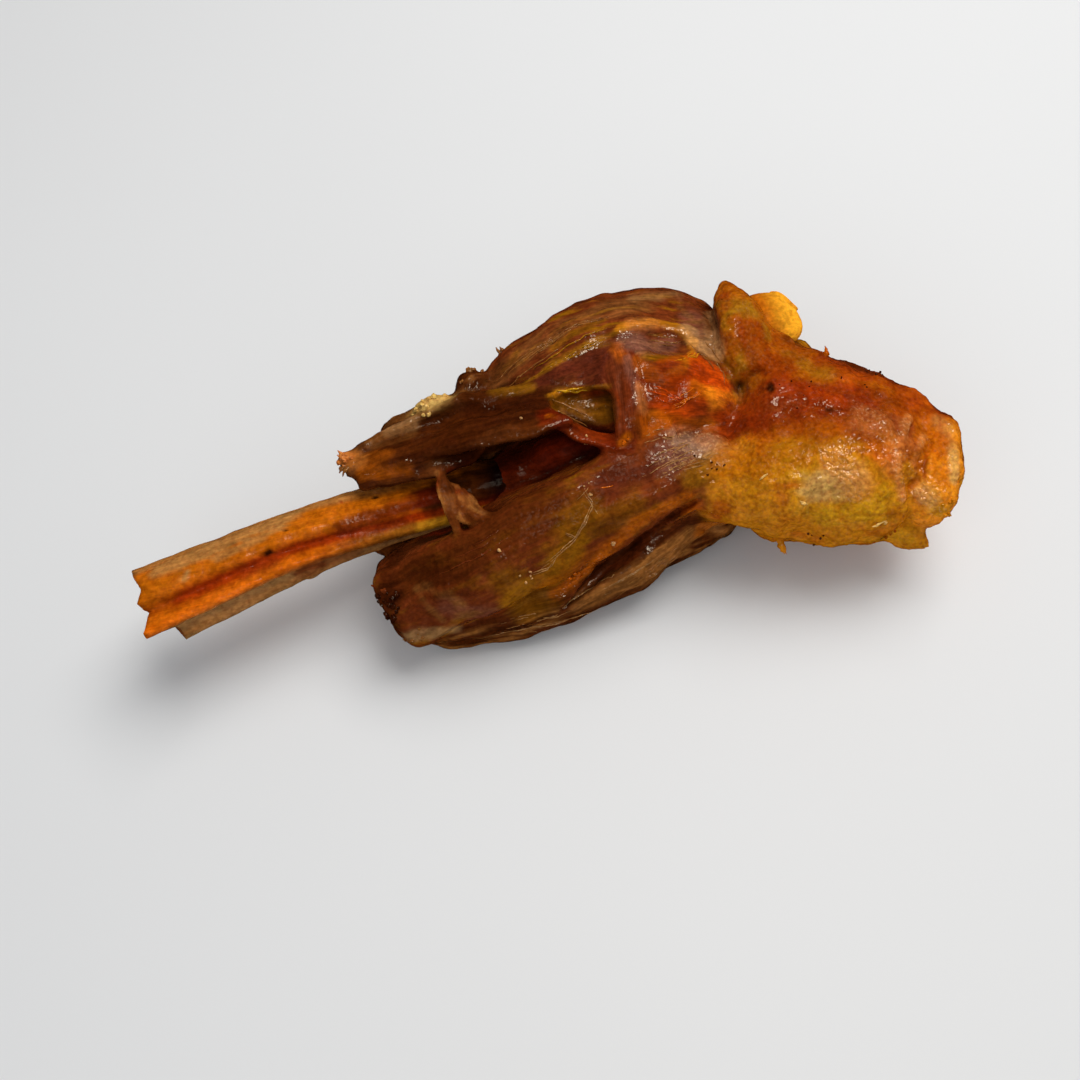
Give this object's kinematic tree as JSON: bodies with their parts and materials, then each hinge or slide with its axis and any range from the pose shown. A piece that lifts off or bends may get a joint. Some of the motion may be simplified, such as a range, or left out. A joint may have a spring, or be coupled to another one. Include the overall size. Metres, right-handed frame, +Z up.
{
  "type": "roast lamb shank",
  "caption": "Roast lamb shank lying on its side: a bare grooved bone runs into split, browned muscles and ends in a fatty knuckle.",
  "frame": {"origin": "middle of the box round the shank, on the surface it rests on", "axes": "+X from the sawn bone end to the knuckle, +Y away from the shown front, +Z up"},
  "size_m": [0.2498, 0.102, 0.0541],
  "materials": {
    "roast_meat": "glossy, fatty, browned muscle fibres with yellow fat and gristle",
    "roast_bone": "smooth, oily, amber to pale tan bone"
  },
  "bodies": {
    "root": {"meat": "roast_meat", "bone": "roast_bone"}
  },
  "joints": []
}
